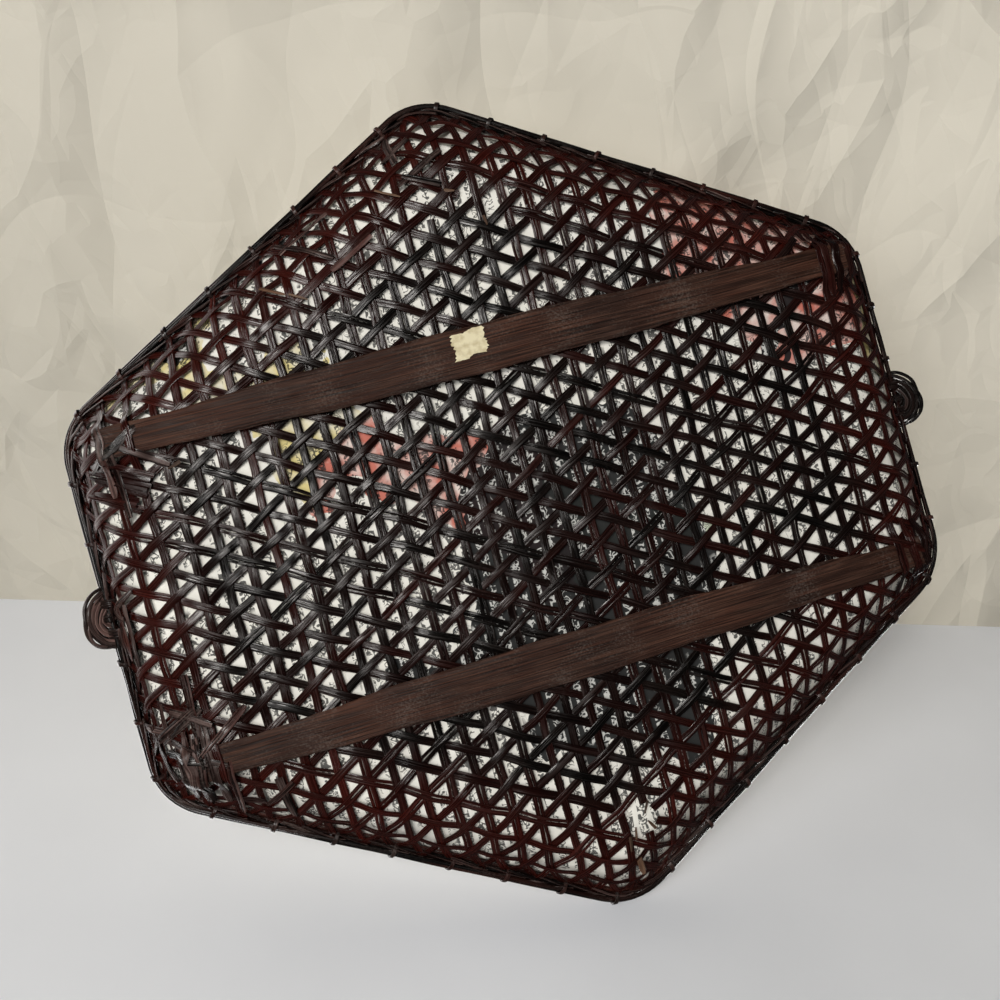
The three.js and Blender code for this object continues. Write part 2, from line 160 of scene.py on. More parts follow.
def onSide(side, share, distance, flat=None):
    # the place and the outward normal of points on the walls, by side and share along it
    handled = np.where(side % 3 == 0, smoothStep(np.minimum(share, 1 - share) / 0.22), 0)
    out, rise, slope = fromWalls(distance, handled)
    edge = onHexagon(side, share, flatReach, flatStart, flatStop) * stretch
    top = onHexagon(side, share, rimReach, rimStart, rimStop)
    climbed = out / (rimReach[side] - (edge * outward[side]).sum(1))
    base = edge if flat is None else np.where((distance < 0)[:, None], flat * stretch, edge)
    grown = np.clip(climbed, 0, 2)
    length = rimLength[side] * grown + flatLength[side] * (1 - grown)
    radius = tray["cornerRadius"] * np.clip(climbed, 0.001, 2)
    turn, slide, inward = atCorner(share, np.minimum(share, 1 - share) * length, radius, distance > 0)
    plan = base + (top - edge) * climbed[:, None]
    plan = plan + sideways[side] * slide[:, None] - outward[side] * inward[:, None]
    angle = sideAngles[side] + turn
    facing = np.stack([np.cos(angle) * np.sin(slope), np.sin(angle) * np.sin(slope), -np.cos(slope)], 1)
    return np.column_stack([plan, tray["baseZ"] + rise]), facing


def folded(flat):
    # folds flat points of the weave into the tray
    side, distance = pastBase(flat)
    past = np.maximum(distance, 0)
    start, stop = flatStart[side] - past * halfTurn, flatStop[side] + past * halfTurn
    share = ((flat * sideways[side]).sum(1) - start) / (stop - start)
    opened = np.interp(distance, (24, 36), (0, 1)) / crossingsAtRim[side]
    share = np.clip(share + (share - 0.5) * opened, 0, 1)
    place, facing = onSide(side, share, distance, flat)
    return place, facing, distance


# A place on the rim: u climbs the wall and v points out of it.
climb = np.array([0.495, 0.869])
outOfWall = np.array([0.869, -0.495])


def onRim(side, share, u, v):
    side, share = np.broadcast_arrays(np.atleast_1d(side), np.atleast_1d(share).astype(float))
    position = rimStart[side] + share * rimLength[side]
    toCorner = np.minimum(position - rimStart[side], rimStop[side] - position)
    turn, slide, inward = atCorner(share, toCorner, tray["cornerRadius"])
    plan = outward[side] * (rimReach[side] - inward)[:, None] + sideways[side] * (position + slide)[:, None]
    angle = sideAngles[side] + turn
    level = np.stack([np.cos(angle), np.sin(angle)], 1)
    run, height = [np.asarray(u) * climb[row] + np.asarray(v) * outOfWall[row] for row in (0, 1)]
    plan = plan + level * np.broadcast_to(run, len(plan))[:, None]
    z = np.broadcast_to(tray["baseZ"] + tray["rimRise"] + height, len(plan))
    facing = np.column_stack([level * outOfWall[0], np.full(len(plan), outOfWall[1])])
    return np.column_stack([plan, z]), facing


def unit(rows):
    return rows / np.maximum(np.linalg.norm(rows, axis=1), 1e-9)[:, None]


seeded = np.random.default_rng


def wander(at, seed, wave, size):
    # a slow random curve, the same each time for one seed
    draw = seeded(seed)
    total = 0
    for part in (1, 0.53, 0.29):
        total = total + part * np.sin(at * 2 * math.pi / (wave * part) + draw.uniform(0, 6.283))
    return total * size / 1.2


def acrossPath(path, facing):
    return np.cross(unit(np.gradient(path, axis=0)), facing)


def relax(path):
    path[1:-1] = path[1:-1] * 0.5 + (path[:-2] + path[2:]) * 0.25


def ahead(degrees):
    angle = math.radians(degrees)
    return np.array([math.cos(angle), math.sin(angle)])


def fullTurn(count):
    return np.linspace(0, 2 * math.pi, count, endpoint=False)


def gridQuads(rings, around, closed=False):
    # the faces between rings of points, and from the last ring to the first where closed
    i, j = np.meshgrid(np.arange(rings if closed else rings - 1), np.arange(around), indexing="ij")
    after, beside = (i + 1) % rings, (j + 1) % around
    corners = [i * around + j, after * around + j, after * around + beside, i * around + beside]
    return np.stack(corners, -1).reshape(-1, 4)


# Everything woven or wound is a section swept along a path, with a normal that says which way is out.
def sweep(path, normal, section, closed=False, seed=0, tone=0.5):
    count = len(path)
    tangent = unit(np.roll(path, -1, 0) - np.roll(path, 1, 0) if closed else np.gradient(path, axis=0))
    out = unit(normal - tangent * (normal * tangent).sum(1)[:, None])
    across = np.cross(tangent, out)
    around = np.shape(section)[-2]
    section = np.broadcast_to(section, (count, around, 2))
    points = path[:, None] + across[:, None] * section[:, :, :1] + out[:, None] * section[:, :, 1:]
    step = np.linalg.norm(np.diff(path, axis=0), axis=1)
    grain = np.empty((count, around, 3))
    grain[:, :, 0] = np.concatenate([[0], np.cumsum(step)])[:, None]
    grain[:, :, 1] = section[:, :, 0] + section[:, :, 1] * 1.7
    grain[:, :, 2] = seed
    first, last = list(range(around)), list(range((count - 1) * around, count * around))
    return {
        "points": points.reshape(-1, 3),
        "quads": gridQuads(count, around, closed),
        "caps": [] if closed else [first, last[::-1]],
        "grain": grain.reshape(-1, 3),
        "tone": np.broadcast_to(np.reshape(tone, (-1, 1)), (count, around)).reshape(-1),
    }


def plainPart(points, quads, caps):
    return {"points": points, "quads": quads, "caps": caps, "grain": points, "tone": np.zeros(len(points))}


def roundSection(radius, corners=8):
    angle = np.arange(corners) * 2 * math.pi / corners
    return np.stack([np.cos(angle), np.sin(angle)], 1) * radius


def splitSection(width, thickness):
    # a split strip: flat inside, and crowned between narrow bevels on its rind side
    half, edge, crown = width / 2, min(0.2, width / 8), min(0.06, width * 0.016)
    top = thickness / 2
    return np.array([
        (-half + edge * 0.5, -top), (half - edge * 0.5, -top), (half, top * 0.1), (half - edge, top * 0.7),
        (half * 0.5, top * 0.7 + crown * 0.72), (0, top * 0.7 + crown), (-half * 0.5, top * 0.7 + crown * 0.72),
        (-half + edge, top * 0.7), (-half, top * 0.1),
    ])


def tapered(width, thickness, narrow):
    # the section of a split strip at each point of its path, narrowed by a share of its width
    return splitSection(width, thickness) * np.stack([narrow, np.ones(len(narrow))], 1)[:, None]


materials = {}


def makePiece(name, parts, material, nodes=(), smooth=32):
    joined = {key: np.concatenate([part[key] for part in parts]) for key in ("points", "grain", "tone")}
    faces, offset = [], 0
    for part in parts:
        faces += (part["quads"] + offset).tolist()
        faces += [[corner + offset for corner in cap] for cap in part["caps"]]
        offset += len(part["points"])
    mesh = bpy.data.meshes.new(name)
    mesh.from_pydata((joined["points"] * mm).tolist(), [], faces)
    for key, kind, field in (("grain", "FLOAT_VECTOR", "vector"), ("tone", "FLOAT", "value")):
        stored = mesh.attributes.new(key, kind, "POINT")
        stored.data.foreach_set(field, joined[key].astype(np.float32).ravel())
    mesh.shade_smooth()
    mesh.set_sharp_from_angle(angle=math.radians(smooth))
    mesh.materials.append(materials[material])
    piece = bpy.data.objects.new(name, mesh)
    scene.collection.objects.link(piece)
    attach(piece, "root")
    if nodes:
        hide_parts(*nodes)
    return piece


# Materials. Each effect that several of them share is a node group. New nodes go into the current tree.
current, groups = {}, {}


def connect(node, links):
    # links or sets the sockets of a node
    for key, value in links.items():
        socket = node.inputs[key]
        if isinstance(value, bpy.types.NodeSocket):
            current["tree"].links.new(value, socket)
        else:
            socket.default_value = (*value, 1) if socket.type == "RGBA" else value


def addNode(kind, links=None, **settings):
    made = current["tree"].nodes.new(kind)
    for key, value in settings.items():
        setattr(made, key, value)
    connect(made, links or {})
    return made


def ramp(value, stops, blend="LINEAR"):
    made = addNode("ShaderNodeValToRGB", {"Fac": value})
    made.color_ramp.interpolation = blend
    elements = made.color_ramp.elements
    while len(elements) < len(stops):
        elements.new(0.5)
    for element, (place, colour) in zip(elements, stops):
        element.position = place
        element.color = (*colour, 1) if np.ndim(colour) else (colour, colour, colour, 1)
    return made.outputs["Color"]


def mixColour(factor, first, second, blend="MIX"):
    sockets = {0: factor, 6: first, 7: second}
    return addNode("ShaderNodeMix", sockets, data_type="RGBA", blend_type=blend).outputs[2]


def maths(operation, first, second=0):
    return addNode("ShaderNodeMath", {0: first, 1: second}, operation=operation).outputs[0]


def vectorMaths(operation, first, second):
    place = "Scale" if operation == "SCALE" else 1
    made = addNode("ShaderNodeVectorMath", {0: first, place: second}, operation=operation)
    return made.outputs["Value" if operation == "DOT_PRODUCT" else "Vector"]


def mapRange(value, fromLow, fromHigh, low=0, high=1):
    links = {"Value": value, "From Min": fromLow, "From Max": fromHigh, "To Min": low, "To Max": high}
    return addNode("ShaderNodeMapRange", links).outputs[0]


def noiseValue(vector, scale, detail, output="Fac", **more):
    links = {"Vector": vector, "Scale": scale, "Detail": detail, **more}
    return addNode("ShaderNodeTexNoise", links).outputs[output]


def objectPlace():
    return addNode("ShaderNodeTexCoord").outputs["Object"]


def bump(height, strength, distance):
    return addNode("ShaderNodeBump", {"Height": height, "Strength": strength, "Distance": distance}).outputs[0]


def newMaterial(name):
    material = materials[name] = bpy.data.materials.new(name)
    material.use_nodes = True
    current["tree"] = material.node_tree
    return material.node_tree.nodes["Principled BSDF"]


def newGroup(name, inputs, outputs):
    # a node group, with inputs by name and default, and outputs that are all single numbers
    tree = current["tree"] = groups[name] = bpy.data.node_groups.new(name, "ShaderNodeTree")
    for label, value in inputs.items():
        kind = "NodeSocketVector" if np.ndim(value) else "NodeSocketFloat"
        tree.interface.new_socket(label, in_out="INPUT", socket_type=kind).default_value = value
    for label in outputs:
        tree.interface.new_socket(label, in_out="OUTPUT", socket_type="NodeSocketFloat")
    return tree.nodes.new("NodeGroupInput").outputs, tree.nodes.new("NodeGroupOutput")


def fibreGroup():
    # lengthwise fibres of split bamboo, read along the piece's own run
    inputs = {"Grain": (0, 0, 0), "Fineness": 1}
    given, result = newGroup("bambooFibre", inputs, ("Fibre", "Cloud", "Height"))
    fine = vectorMaths("MULTIPLY", given["Grain"], (0.035, 2.3, 17))
    wide = vectorMaths("MULTIPLY", given["Grain"], (0.05, 0.25, 5.3))
    fibre = noiseValue(vectorMaths("SCALE", fine, given["Fineness"]), 1, 3)
    height = maths("POWER", fibre, 1.5)
    connect(result, {"Fibre": fibre, "Cloud": noiseValue(wide, 1, 2), "Height": height})


def dustGroup():
    # pale specks and smears of dust, at any place on the object
    given, result = newGroup("settledDust", {"Amount": 0.3, "Scale": 60}, ("Mask",))
    place = objectPlace()
    smear, speck = noiseValue(place, given["Scale"], 5), noiseValue(place, 900, 2)
    raised = mapRange(maths("MULTIPLY", smear, speck), 0.27, 0.45)
    connect(result, {"Mask": maths("MULTIPLY", raised, given["Amount"])})


fibreGroup()
dustGroup()


def groupNode(name, links):
    return addNode("ShaderNodeGroup", links, node_tree=groups[name]).outputs


def lacquered(name, look):
    # split bamboo or cane under old lacquer: dark to red by tone, lighter along worn fibres
    shader = newMaterial(name)
    grain = addNode("ShaderNodeAttribute", attribute_name="grain").outputs["Vector"]
    tone = addNode("ShaderNodeAttribute", attribute_name="tone").outputs["Fac"]
    split = groupNode("bambooFibre", {"Grain": grain, "Fineness": look["fineness"]})
    settled = groupNode("settledDust", {"Amount": look["dust"], "Scale": 45})
    worn = maths("MULTIPLY", ramp(split["Cloud"], ((0.42, 0), (0.68, 1))), look["wear"])
    colour = mixColour(worn, mixColour(tone, look["dark"], look["red"]), look["worn"])
    low, high = look["streak"]
    streak = ramp(split["Fibre"], ((0.34, low), (0.5, 1), (0.68, high)))
    colour = mixColour(1, colour, streak, "MULTIPLY")
    colour = mixColour(settled["Mask"], colour, (0.33, 0.29, 0.25))
    connect(shader, {
        "Base Color": colour,
        "Roughness": mapRange(split["Fibre"], 0.38, 0.64, *look["roughness"]),
        "Normal": bump(split["Height"], look["bump"], look["relief"]),
        "Specular IOR Level": look["specular"],
        "Coat Weight": look["coat"],
        "Coat Roughness": look["coatRoughness"],
    })


# The looks: what most have in common, and then what each has of its own.
plainLook = {
    "coat": 0, "coatRoughness": 0.3, "specular": 0.5, "bump": 1, "relief": 0.0002, "fineness": 0.8, "dust": 0.1,
}
looks = {
    "weaveLacquer": {
        "dark": (0.0014, 0.0009, 0.0007), "red": (0.055, 0.0055, 0.0028), "worn": (0.016, 0.01, 0.008),
        "wear": 0.3, "roughness": (0.07, 0.42), "relief": 0.00025, "fineness": 0.75, "dust": 0.02,
        "streak": (0.4, 1.7),
    },
    "rimLacquer": {
        "dark": (0.002, 0.0014, 0.0013), "red": (0.065, 0.015, 0.009), "worn": (0.03, 0.018, 0.014),
        "wear": 0.15, "roughness": (0.16, 0.3), "coat": 0.25, "coatRoughness": 0.08, "bump": 0.5,
        "dust": 0.06, "streak": (0.5, 1.5),
    },
    "lashingLacquer": {
        "dark": (0.004, 0.0027, 0.0025), "red": (0.045, 0.012, 0.008), "worn": (0.05, 0.034, 0.028),
        "wear": 0.25, "roughness": (0.24, 0.4), "coat": 0.1, "coatRoughness": 0.18, "bump": 0.6,
        "fineness": 1, "streak": (0.5, 1.5),
    },
    "handleLacquer": {
        "dark": (0.002, 0.0014, 0.0012), "red": (0.3, 0.18, 0.155), "worn": (0.1, 0.07, 0.06), "wear": 0.1,
        "roughness": (0.16, 0.28), "coat": 0.5, "coatRoughness": 0.08, "bump": 0.6, "streak": (0.5, 1.4),
    },
    "lappedBamboo": {
        "dark": (0.004, 0.0024, 0.002), "red": (0.06, 0.017, 0.012), "worn": (0.09, 0.058, 0.05),
        "wear": 0.6, "roughness": (0.13, 0.5), "relief": 0.0004, "fineness": 0.55, "streak": (0.15, 2.6),
    },
    "splinteredBamboo": {
        "dark": (0.015, 0.008, 0.005), "red": (0.2, 0.1, 0.055), "worn": (0.24, 0.16, 0.1), "wear": 0.3,
        "roughness": (0.4, 0.6), "specular": 0.4, "relief": 0.0003, "fineness": 1.3, "dust": 0,
        "streak": (0.5, 1.4),
    },
    "slatBamboo": {
        "dark": (0.015, 0.0058, 0.0036), "red": (0.045, 0.016, 0.0085), "worn": (0.056, 0.027, 0.017),
        "wear": 0.5, "roughness": (0.48, 0.7), "specular": 0.4, "relief": 0.0007, "fineness": 0.72,
        "dust": 0.13, "streak": (0.25, 2.1),
    },
}
for name, look in looks.items():
    lacquered(name, {**plainLook, **look})


def cellValue(vector, scale, randomness, channel):
    cell = addNode("ShaderNodeTexVoronoi", {"Vector": vector, "Scale": scale, "Randomness": randomness})
    return addNode("ShaderNodeSeparateColor", {"Color": cell.outputs["Color"]}).outputs[channel]


def liningMaterial():
    # cream paper with small printed flecks and soft patches of colour, none of them a letter or a picture
    shader = newMaterial("liningPaper")
    place = objectPlace()
    bent = vectorMaths("SCALE", noiseValue(place, 28, 3, "Color"), 0.05)
    moved = vectorMaths("ADD", place, bent)
    tint = ramp(cellValue(moved, 11, 1, 0), (
        (0, (0.8, 0.78, 0.7)), (0.48, (0.78, 0.76, 0.68)), (0.56, (0.5, 0.1, 0.06)),
        (0.61, (0.6, 0.25, 0.12)), (0.66, (0.66, 0.55, 0.2)), (0.72, (0.42, 0.5, 0.32)),
        (0.77, (0.12, 0.3, 0.33)), (0.82, (0.8, 0.78, 0.71)),
    ), "CONSTANT")
    fade = ramp(noiseValue(place, 90, 4), ((0.35, 0.25), (0.6, 0.9)))
    paper = mixColour(fade, (0.8, 0.78, 0.71), tint)
    aside = vectorMaths("ADD", moved, (0.41, 0.05, 0.3))
    panel = ramp(cellValue(aside, 8, 0.8, 1), ((0, 1), (0.24, 0)), "CONSTANT")
    paper = mixColour(maths("MULTIPLY", panel, 0.98), paper, (0.012, 0.013, 0.014))
    stroke = maths("SUBTRACT", noiseValue(place, 340, 1, Distortion=0.9), 0.5)
    printed = ramp(maths("ABSOLUTE", stroke), ((0.05, 1), (0.075, 0)))
    column = addNode("ShaderNodeTexWave", {"Vector": place, "Scale": 46, "Distortion": 1.5, "Detail": 1})
    area = noiseValue(place, 40, 2)
    for value, low, high in ((column.outputs["Fac"], 0.25, 0.35), (area, 0.4, 0.44)):
        printed = maths("MULTIPLY", printed, ramp(value, ((low, 0), (high, 1))))
    ink = mixColour(panel, (0.03, 0.03, 0.03), (0.62, 0.62, 0.58))
    paper = mixColour(maths("MULTIPLY", printed, 0.9), paper, ink)
    crumple = bump(noiseValue(place, 160, 5), 0.5, 0.001)
    connect(shader, {"Base Color": paper, "Roughness": 0.85, "Specular IOR Level": 0.2, "Normal": crumple})


liningMaterial()
print("materials made")


# The weave: three directions, with every strip passing over and under at the crossings.
weave = {
    "rows": {"across": 16, "rising": 14, "falling": 14},
    "lean": {"across": 0, "rising": 1, "falling": -1},
    "width": 3.9, "thickness": 0.42, "wave": 0.6, "rock": 0.22, "drift": 0.5, "step": 2, "end": 39.5,
    "reach": 275,
    "holes": ((-8.4, -160, 6.5, "rising falling across"), (-13.6, 145, 9, "falling"), (9, 149, 8, "across")),
    "splitShare": 0.3, "slatLine": 75.4, "slatReach": 6.5, "slatFade": 8, "slatStripZ": 0.85,
}


def nearSlat(y):
    # 1 over the middle line of a slat and 0 clear of the slat
    gap = np.abs(np.abs(y) - weave["slatLine"])
    return 1 - smoothStep((gap - weave["slatReach"]) / weave["slatFade"])


def stripParts(family):
    rows, heading = weave["rows"][family], list(weave["rows"]).index(family)
    draw = seeded(40 + heading)
    parts = []
    for row in range(-rows, rows + 1):
        seed = draw.uniform(0, 50)
        run = np.arange(-weave["reach"], weave["reach"], weave["step"])
        width = weave["width"] * (1 + draw.normal(0, 0.05))
        aside = draw.normal(0, 0.25) + wander(run, int(seed * 100), 90, weave["drift"])
        flat = outward[heading] * (row * tray["pitch"] + aside)[:, None] + sideways[heading] * run[:, None]
        inside = pastBase(flat)[1] < weave["end"] + draw.uniform(-0.8, 0.4)
        for piece in unbroken(flat, inside, family):
            parts += stripPiece(family, row, flat[piece], run[piece], width, seed, draw)
    return parts


def unbroken(flat, inside, family):
    # the stretches of a strip that no hole in the weave has taken away
    for x, y, radius, families in weave["holes"]:
        if family in families:
            inside = inside & (np.hypot(flat[:, 0] - x, flat[:, 1] - y) > radius)
    index = np.flatnonzero(inside)
    return [part for part in np.split(index, np.flatnonzero(np.diff(index) > 1) + 1) if len(part) > 3]


def stripPiece(family, row, flat, run, width, seed, draw):
    place, facing, distance = folded(flat)
    crossing = np.cos(math.pi * flat[:, 0] / tray["pitch"])
    lift = weave["lean"][family] * weave["wave"] * crossing * (1.5 - 0.5 * crossing**2)
    if family == "across":
        lift = weave["rock"] * np.cos(2 * math.pi * run / tray["pitch"] * sineSixth)
    path = place + facing * (lift * np.interp(distance, (36, 40), (1, 0.4)))[:, None]
    if family == "across" and abs(row) == tray["rows"][0]:
        path[:, 2] += (weave["slatStripZ"] - path[:, 2]) * nearSlat(place[:, 1])
    relax(path)
    out = facing + acrossPath(path, facing) * wander(run, int(seed * 77) + 5, 60, 0.08)[:, None]
    redder = np.interp(distance, (-22, 12), (0, 0.38))
    tone = draw.beta(1, 14) + wander(run, int(seed * 31), 130, 0.06) + redder
    look = {"seed": seed, "tone": np.clip(tone, 0, 1)}
    thickness = weave["thickness"] * (1 + draw.normal(0, 0.08))
    if draw.random() > weave["splitShare"]:
        return [sweep(path, out, splitSection(width, thickness), **look)]
    # an old strip that has split lengthwise into two
    across = acrossPath(path, unit(out))
    cut = draw.uniform(0.35, 0.65)
    opening = 0.12 + np.abs(wander(run, int(seed * 13), 45, 0.3))
    parts = []
    for share, sign in ((cut, -1), (1 - cut, 1)):
        aside = across * (sign * (width * (1 - share) + opening) / 2)[:, None]
        look["seed"] = seed + sign
        parts.append(sweep(path + aside, out, splitSection(width * share, thickness), **look))
    return parts


for family in weave["rows"]:
    makePiece("weave" + family.capitalize(), stripParts(family), "weaveLacquer",
              ["weave_strips_" + family])
print("weave made")


# Under the rim the strip ends turn and lap over one another, like a row of leaves that point one way.
leaf = {"width": 2.3, "inner": 31.3, "outer": 38.8, "middle": 35.6, "lift": 1.25, "length": -1.35}


def leafParts():
    draw = seeded(88)
    parts = []
    share = np.linspace(0, 1, 9)
    for side, count in enumerate(crossingsAtRim):
        for end in range(2 * int(count)):
            first = leaf["outer"] if end % 2 else leaf["inner"]
            start = (end // 2 + 0.5 + draw.normal(0, 0.1)) / count
            position = side + start + share * (leaf["length"] * draw.uniform(0.85, 1.1) / count)
            sides = np.floor(position).astype(int)
            distance = first + (leaf["middle"] + draw.normal(0, 0.4) - first) * smoothStep(share * 0.9)
            place, facing = onSide(sides % 6, position - sides, distance)
            lift = leaf["lift"] + draw.uniform(0, 0.4) + 0.4 * np.sin(share * math.pi)
            path = place + facing * lift[:, None]
            lean = acrossPath(path, facing) * draw.normal(0, 0.22)
            narrow = np.interp(share, (0, 0.25, 0.65, 1), (0.7, 1, 0.8, 0.12))
            section = tapered(leaf["width"] * draw.uniform(0.8, 1.15), 0.38, narrow)
            look = {"seed": draw.uniform(0, 40), "tone": draw.uniform(0, 0.3)}
            parts.append(sweep(path, facing + lean, section, **look))
    return parts


makePiece("lappedEnds", leafParts(), "lappedBamboo")
print("lapped ends made")


# Wear: a darned patch, bunches of spare strip ends (x, y, spread, count), covers and tucks over the slats'
# ends, and splinters. Each of these strips is a flat place and heading in degrees, then length, width, lift,
# raise at the end and tone, and none reaches past the highest flat distance up the wall.
wear = {
    "highest": 33, "slatEnd": (161, 6, 184, 5),
    "patch": {"middle": (178.5, 56), "heading": 30, "rows": 8, "pitch": 2.5, "length": 26, "lift": 1.25},
    "bunches": ((181, -60, 10, 10), (152, -106, 9, 6), (191, -8, 9, 5), (180, 58, 6, 3), (14, 166, 8, 4),
                (60, 143, 9, 3)),
    "covers": (
        (171.5, -57, -92, 38, 4.2, 1.2, 0.2, 0.1), (175.8, -60, -88, 33, 4.4, 1.3, 0.3, 0.05),
        (180.2, -58, -92, 36, 4.2, 1.2, 0.3, 0.25), (184, -63, -90, 27, 4.2, 1.3, 0.2, 0.1),
        (188, -66, 206, 26, 4.2, 2.1, 0.2, 0), (180.5, 92, -90, 34, 3.8, 1.2, 0.2, 0.2),
        (187, 66, 150, 27, 4, 1.7, 0.2, 0),
    ),
    "tucks": (
        (-170.5, 92, -91, 34, 3.8, 1.2, 0.2, 0.3), (-176.5, 91, -88, 33, 4, 1.3, 0.2, 0.12),
        (-182.5, 91, -92, 31, 4, 1.2, 0.2, 0.25), (-161, 90, -32, 34, 3.8, 1.8, 0.2, 0.1),
        (-167, -58, -90, 35, 3.8, 1.2, 0.2, 0.15), (-173.5, -57, -92, 35, 4, 1.3, 0.2, 0.3),
        (-180, -59, -89, 32, 4, 1.2, 0.2, 0.1), (-186, -66, -90, 20, 3.8, 1.2, 0.2, 0.2),
        (-158, -63, 208, 30, 3.8, 1.8, 0.2, 0.3),
    ),
    "splinters": (
        (-3, -178, -100, 9, 3.2, 1, 1.2, 0.75), (-1.5, -166, -80, 7, 1.6, 0.9, 0.8, 0.1),
        (-14, -152, -60, 6, 1.2, 0.8, 1, 0.05), (-4, -168, 100, 6, 1.2, 0.8, 0.7, 0.35),
        (-14.5, -166, 60, 6, 1.4, 0.9, 0.6, 0.25), (-13, 137, -95, 5, 1.4, 0.8, 0.6, 0.25),
        (2, 153, 200, 5, 1.6, 0.8, 0.8, 0.3), (33, 160, -150, 12, 1.2, 1.2, 0.6, 0.35),
        (96, 128, -150, 12, 1.5, 1, 0.6, 0.5), (84, 122, -150, 9, 1.1, 1, 0.5, 0.4),
        (150, 60, -20, 6, 1.6, 1, 0.8, 0.15),
    ),
}


def overSlatEnd(path):
    # 1 where a strip has to pass outside a slat's end instead of between it and the weave
    start, rise, stop, fall = wear["slatEnd"]
    x = np.abs(path[:, 0])
    return nearSlat(path[:, 1]) * smoothStep((x - start) / rise) * (1 - smoothStep((x - stop) / fall))


def looseParts(rows, seed):
    return sum((loosePart(row, seed + number) for number, row in enumerate(rows)), [])


def loosePart(row, seed):
    x, y, heading, length, width, lift, raised, tone = row
    run = np.linspace(0, length, max(7, int(length / 1.8)))
    flat = np.array([x, y]) + run[:, None] * ahead(heading)
    kept = pastBase(flat)[1] < wear["highest"]
    if kept.sum() < 5:
        return []
    run, flat = run[kept], flat[kept]
    place, facing, _ = folded(flat)
    path = place + facing * (lift + raised * (run / length) ** 2 + wander(run, seed, 17, 0.18))[:, None]
    over = overSlatEnd(path)[:, None]
    path[:, 2:] += (weave["slatStripZ"] - path[:, 2:]) * over
    facing = unit(facing * (1 - over) + np.array([0, 0, -1]) * over)
    relax(path)
    lean = acrossPath(path, facing) * wander(run, seed + 1, 30, 0.22)[:, None]
    section = tapered(width, 0.36, 1 - 0.45 * smoothStep((run - length + 3) / 3))
    return [sweep(path, facing + lean, section, seed=seed * 1.9, tone=tone)]


def patchRows():
    patch = wear["patch"]
    draw = seeded(12)
    along = ahead(patch["heading"])
    beside = np.array([-along[1], along[0]])
    rows = []
    for row in range(patch["rows"]):
        offset = (row - (patch["rows"] - 1) / 2) * patch["pitch"]
        length = patch["length"] * draw.uniform(0.75, 1.1)
        start = np.array(patch["middle"]) + beside * offset - along * (length / 2 + draw.normal(0, 1.5))
        turned = patch["heading"] + draw.normal(0, 3)
        raised, tone = draw.uniform(0, 0.4), draw.uniform(0.1, 0.4)
        rows.append((*start, turned, length, patch["pitch"] * 0.98, patch["lift"], raised, tone))
    return rows


def bunchParts():
    draw = seeded(19)
    parts = []
    for x, y, spread, count in wear["bunches"]:
        for number in range(count):
            heading = draw.choice([30, 90, 150, 210, 270, 330]) + draw.normal(0, 4)
            length = draw.uniform(15, 30)
            start = np.array([x, y]) + draw.normal(0, spread, 2) - ahead(heading) * length / 2
            rest = [draw.uniform(*limits) for limits in ((2.8, 4.2), (1.1, 1.6), (0, 0.5), (0, 0.5))]
            parts += loosePart((*start, heading, length, *rest), 240 + number + x)
    return parts


makePiece("darnedPatch", looseParts(patchRows(), 200), "weaveLacquer")
makePiece("spareEnds", bunchParts() + looseParts(wear["covers"], 260), "lappedBamboo")
makePiece("slatCovers", looseParts(wear["tucks"], 290), "weaveLacquer")
makePiece("splinteredEnds", looseParts(wear["splinters"], 270), "splinteredBamboo")
print("wear made")


# The rim: round canes outside and inside, fine strands under them, and lashings round all of it. A cane is
# a place on the rim, then radius and tone.
rim = {
    "outerCanes": ((-2.7, 3.8, 1.05, 0), (-0.1, 3.9, 1.25, -0.05)),
    "innerCanes": ((-2.9, -2.9, 1.1, 0.2), (-0.2, -3, 1.15, 0.25), (-2.6, -0.5, 1.15, 0.3),
                   (0.1, -0.6, 1.2, 0.2), (0.4, 1, 0.95, 0.1)),
    "strands": ((-4.9, 1.5, 0.55, 0.1), (-6.9, 0.2, 0.5, 0.35), (-8.8, -0.5, 0.45, 0.3), (1.2, 1.9, 0.7, 0)),
    "length": 1250, "perSide": 72, "lashWidth": 2.1, "lashThickness": 0.7, "lashCentre": (-1.5, 0.6),
    "lashHalf": (4.2, 5.2),
}


def ringParts(rows):
    perSide = rim["perSide"]
    sides = np.repeat(np.arange(6), perSide)
    shares = np.tile((np.arange(perSide) + 0.5) / perSide, 6)
    along = np.linspace(0, rim["length"], len(sides), endpoint=False)

    def ripple(size, waves, phase):
        return size * np.sin(along * 2 * math.pi * waves / rim["length"] + phase)

    parts = []
    for number, (u, v, radius, tone) in enumerate(rows):
        seed = number * 1.7 + u
        drift = ripple(0.25, 9, seed) + ripple(0.18, 23, 2 * seed)
        path, facing = onRim(sides, shares, u + drift * 0.6, v + drift * 0.3)
        section = roundSection(radius, 10) * (1 + ripple(0.05, 31, number))[:, None, None]
        tones = np.clip(tone + wander(along, 900 + number, 170, 0.25), 0, 1)
        parts.append(sweep(path, facing, section, closed=True, seed=3.1 * number + u, tone=tones))
    return parts


def woundLoop(side, shares, ring, centre, section, **look):
    # one turn of binding round a line that runs along the rim
    path, _ = onRim(side, shares, *ring)
    middle, _ = onRim(side, shares, *centre)
    return sweep(path, unit(path - middle), section, closed=True, **look)


